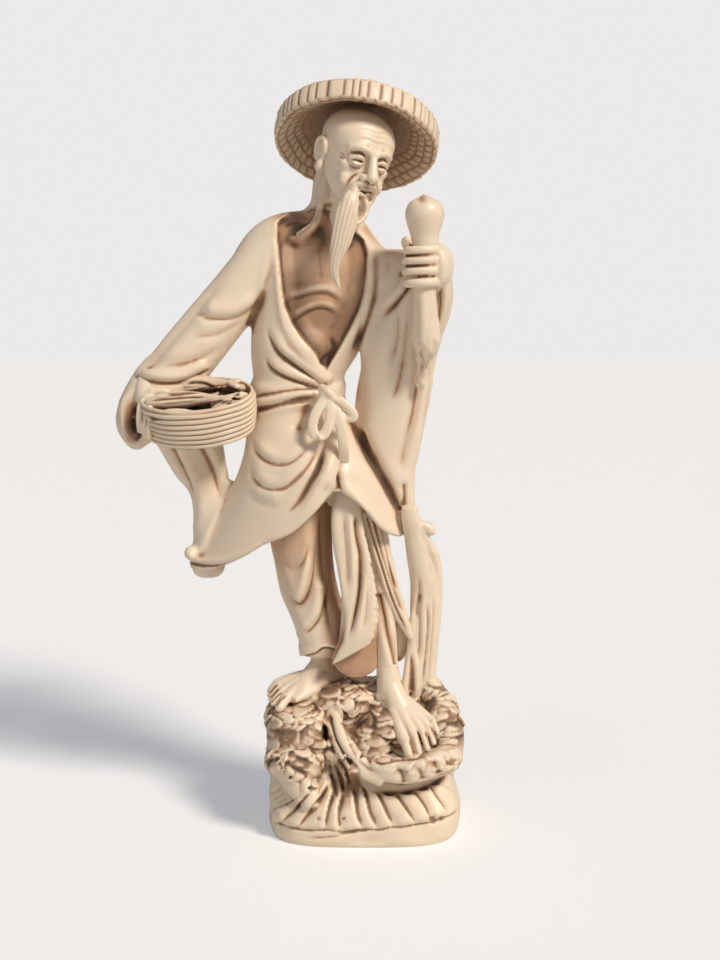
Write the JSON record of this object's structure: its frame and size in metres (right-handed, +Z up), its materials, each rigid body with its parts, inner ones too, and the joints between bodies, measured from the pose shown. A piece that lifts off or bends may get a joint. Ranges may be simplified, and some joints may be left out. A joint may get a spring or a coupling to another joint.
{
  "type": "resin figurine",
  "caption": "Cast resin figurine of an old fisherman in a straw hat, with a basket of fish and a broken staff, standing barefoot on a rock base.",
  "frame": {"origin": "middle of the base's flat underside", "axes": "+Z up, the figure faces -Y, and +X is to the viewer's right when it is seen from the front"},
  "size_m": [0.1191, 0.0573, 0.258],
  "materials": {
    "ivory_resin": "satin ivory-coloured cast resin, brown wash in the folds",
    "antiqued_resin": "the same cast resin with a heavier grey-brown wash",
    "steel_wire": "cut steel wire"
  },
  "bodies": {
    "root": {"rock_base": "antiqued_resin", "right_leg": "ivory_resin", "left_leg": "ivory_resin", "wrap_flap": "ivory_resin", "robe": "ivory_resin", "sash_bow": "ivory_resin", "right_sleeve": "ivory_resin", "right_hand": "ivory_resin", "basket": "antiqued_resin", "catch": "antiqued_resin", "left_sleeve": "ivory_resin", "left_fist": "ivory_resin", "staff_upper": "ivory_resin", "staff_lower": "ivory_resin", "head": "ivory_resin", "hat": "antiqued_resin", "right_ankle_pin": "steel_wire", "left_ankle_pin": "steel_wire"}
  },
  "joints": []
}
